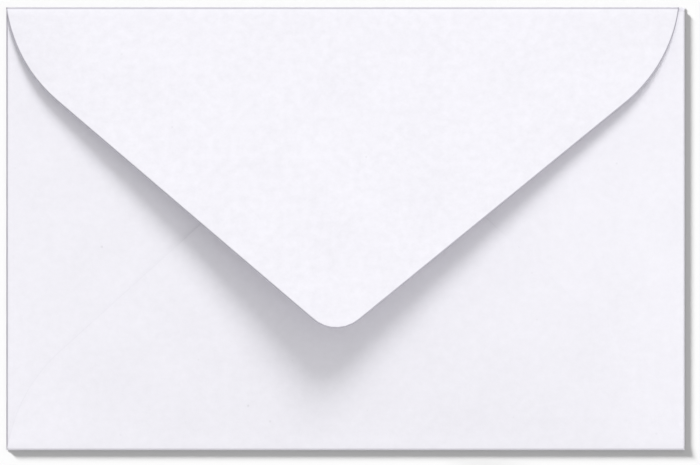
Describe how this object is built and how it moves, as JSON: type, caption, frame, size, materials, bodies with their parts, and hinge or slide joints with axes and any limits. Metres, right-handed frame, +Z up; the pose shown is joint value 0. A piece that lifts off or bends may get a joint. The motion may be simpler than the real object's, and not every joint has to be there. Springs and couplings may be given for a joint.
{
  "type": "paper envelope",
  "caption": "Small white paper envelope with four pointed flaps, glued at the back, the closing flap standing slightly open, lying on its address side.",
  "frame": {"origin": "middle of the address side, on the table that the envelope lies on", "axes": "+X along the long side, +Y from the bottom fold to the top fold that carries the closing flap, +Z up from the address side to the back"},
  "size_m": [0.14, 0.0914, 0.0126],
  "materials": {
    "paper": "uncoated, smooth and dull white, with a fine fibre mottle"
  },
  "bodies": {
    "root": {"envelope": "paper"}
  },
  "joints": []
}
